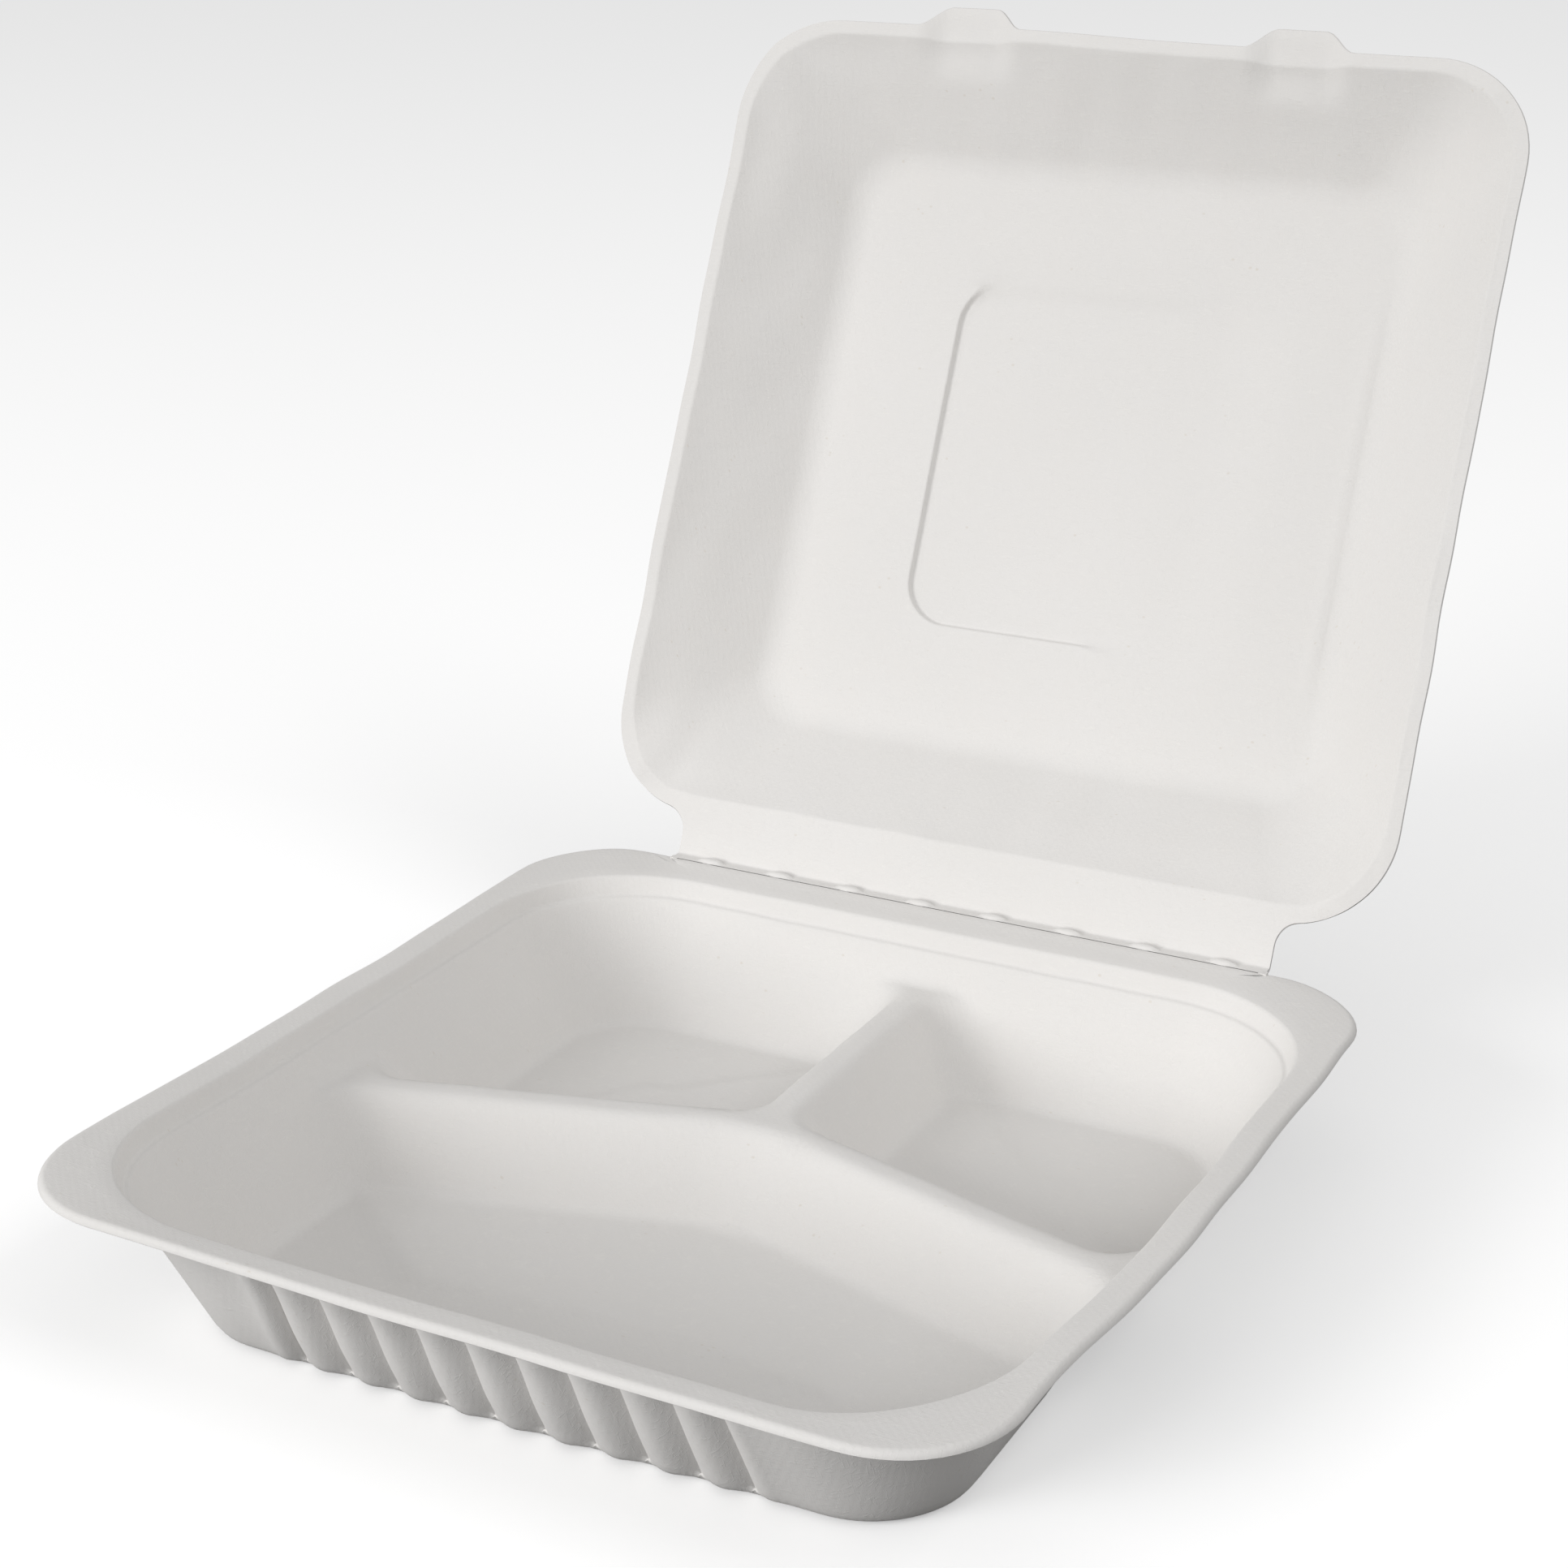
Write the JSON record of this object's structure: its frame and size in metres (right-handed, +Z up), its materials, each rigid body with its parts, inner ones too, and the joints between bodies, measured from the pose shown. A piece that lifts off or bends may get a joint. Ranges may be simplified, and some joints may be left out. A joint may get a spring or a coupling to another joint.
{
  "type": "bagasse meal box",
  "caption": "Hinged clamshell meal box of moulded bagasse pulp with a three-bay tray, lid standing open.",
  "frame": {"origin": "on the underside of the large front bay, on the middle line, where the box rests on the table", "axes": "+Z up, +Y towards the hinge, +X to the right as seen from the front"},
  "size_m": [0.229, 0.3424, 0.2519],
  "materials": {
    "moulded_pulp": "matt"
  },
  "bodies": {
    "tray_body": {"base_tray": "moulded_pulp"},
    "lid_body": {"lid": "moulded_pulp"}
  },
  "joints": [
    {"name": "lid_hinge", "type": "hinge", "parent": "tray_body", "child": "lid_body", "pos_m": [0, 0.16548, 0.0366], "axis": [1, 0, 0], "range_deg": [-65, 114]}
  ]
}
